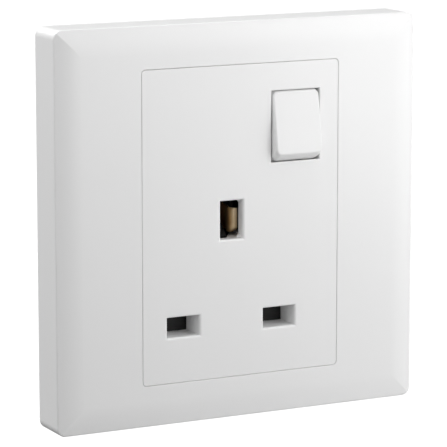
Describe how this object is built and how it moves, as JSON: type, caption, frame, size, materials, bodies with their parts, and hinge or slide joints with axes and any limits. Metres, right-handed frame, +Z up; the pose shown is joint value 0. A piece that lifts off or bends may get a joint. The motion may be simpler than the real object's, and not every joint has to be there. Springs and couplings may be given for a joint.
{
  "type": "switched socket outlet",
  "caption": "Square white wall socket outlet with a raised crowned frame, a rectangular module with shuttered pin apertures, and a rocker switch.",
  "frame": {"origin": "on the wall plane, midway between the two fixing slots", "axes": "+X to the right seen from the front, +Y into the wall, +Z up"},
  "size_m": [0.086, 0.0294, 0.086],
  "materials": {
    "white_plastic": "semi-gloss moulded urea",
    "panel_plastic": "semi-gloss moulded urea",
    "rocker_plastic": "gloss moulded polycarbonate",
    "plate_plastic": "satin moulded polycarbonate",
    "housing_plastic": "matt moulded, dark grey",
    "black_plastic": "satin moulded, black",
    "brass": "pressed and rolled",
    "copper": "pressed copper alloy",
    "silver": "dull silver",
    "steel": "zinc plated"
  },
  "bodies": {
    "root": {"cover_frame": "white_plastic", "support_plate": "plate_plastic", "socket_face": "panel_plastic", "rear_housing": "housing_plastic", "earth_strap": "brass", "earth_strap_rivet": "brass", "earth_contact": "brass", "neutral_contact": "brass", "line_contact": "brass", "line_feed_strip": "brass", "fixed_silver_contact": "silver", "shutter_spring": "steel", "line_terminal": "brass", "earth_terminal": "brass", "neutral_terminal": "brass", "housing_screw_1": "steel", "housing_screw_2": "steel", "housing_screw_3": "steel", "housing_screw_4": "steel"},
    "rocker": {"rocker": "rocker_plastic", "plunger_spring": "steel"},
    "plunger": {"switch_plunger": "plate_plastic"},
    "bridge": {"switch_bridge": "copper", "moving_silver_contact": "silver"},
    "shutter": {"shutter": "black_plastic"},
    "line_screw": {"line_terminal_screw": "steel"},
    "earth_screw": {"earth_terminal_screw": "steel"},
    "neutral_screw": {"neutral_terminal_screw": "steel"}
  },
  "joints": [
    {"name": "rocker_switch", "type": "hinge", "parent": "root", "child": "rocker", "pos_m": [0.0131, -0.007, 0.02], "axis": [1, 0, 0], "range_deg": [0, 18.4]},
    {"name": "plunger_slide", "type": "slide", "parent": "rocker", "child": "plunger", "axis": [0, -0.9871, 0.1599], "range_m": [0, 0.0008], "stiffness_N_per_m": 400, "springref_m": -0.002, "deforming": ["plunger_spring"]},
    {"name": "bridge_rock", "type": "hinge", "parent": "root", "child": "bridge", "pos_m": [0.0131, 0.0045, 0.02], "axis": [1, 0, 0], "range_deg": [-16, 0]},
    {"name": "shutter_slide", "type": "slide", "parent": "root", "child": "shutter", "axis": [0, 0, -1], "range_m": [0, 0.0056], "stiffness_N_per_m": 120, "springref_m": -0.005, "deforming": ["shutter_spring"]},
    {"name": "line_terminal_screw_travel", "type": "slide", "parent": "root", "child": "line_screw", "axis": [0, -1, 0], "range_m": [0, 0.00331]},
    {"name": "earth_terminal_screw_travel", "type": "slide", "parent": "root", "child": "earth_screw", "axis": [0, -1, 0], "range_m": [0, 0.00331]},
    {"name": "neutral_terminal_screw_travel", "type": "slide", "parent": "root", "child": "neutral_screw", "axis": [0, -1, 0], "range_m": [0, 0.00331]}
  ],
  "couplings": [
    {"joint": "bridge_rock", "follows": "rocker_switch", "ratio": -0.86957}
  ]
}
